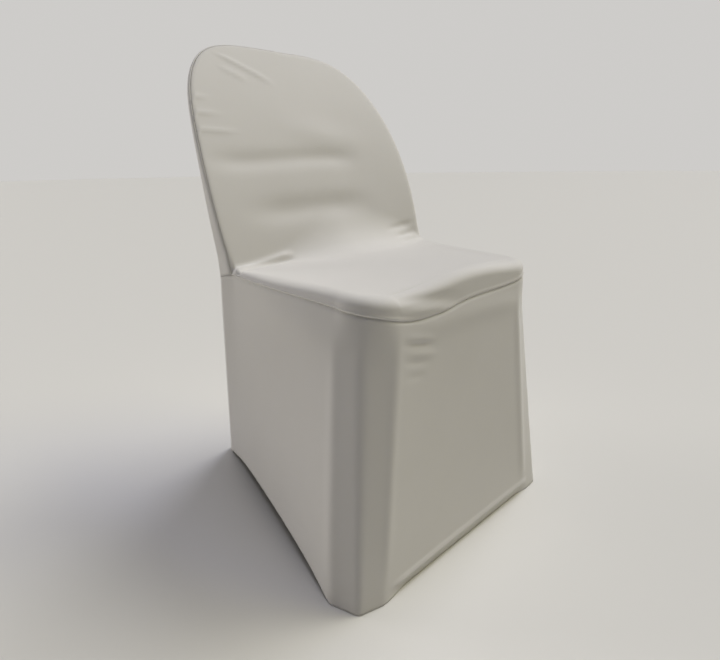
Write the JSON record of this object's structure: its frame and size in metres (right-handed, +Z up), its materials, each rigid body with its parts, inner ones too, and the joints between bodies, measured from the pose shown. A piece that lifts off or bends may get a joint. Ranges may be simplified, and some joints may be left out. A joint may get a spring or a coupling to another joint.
{
  "type": "chair cover",
  "caption": "Fitted stretch-cloth cover for a folding chair: a round-topped hood over the back, a flat seat panel and a plain skirt that tapers out to pointed feet at the floor.",
  "frame": {"origin": "the inside of the hood's crown, midway between its front and its back, where the cover hangs on the top of the back it covers", "axes": "+Z up, -Y towards the front of the seat, +X to the right of someone who looks at the front"},
  "size_m": [0.493, 0.5255, 0.7936],
  "materials": {
    "stretch_cloth": "plain ivory knitted stretch cloth, matt with a faint silky sheen"
  },
  "bodies": {
    "root": {"front_panel": "stretch_cloth", "rear_panel": "stretch_cloth", "skirt": "stretch_cloth"}
  },
  "joints": []
}
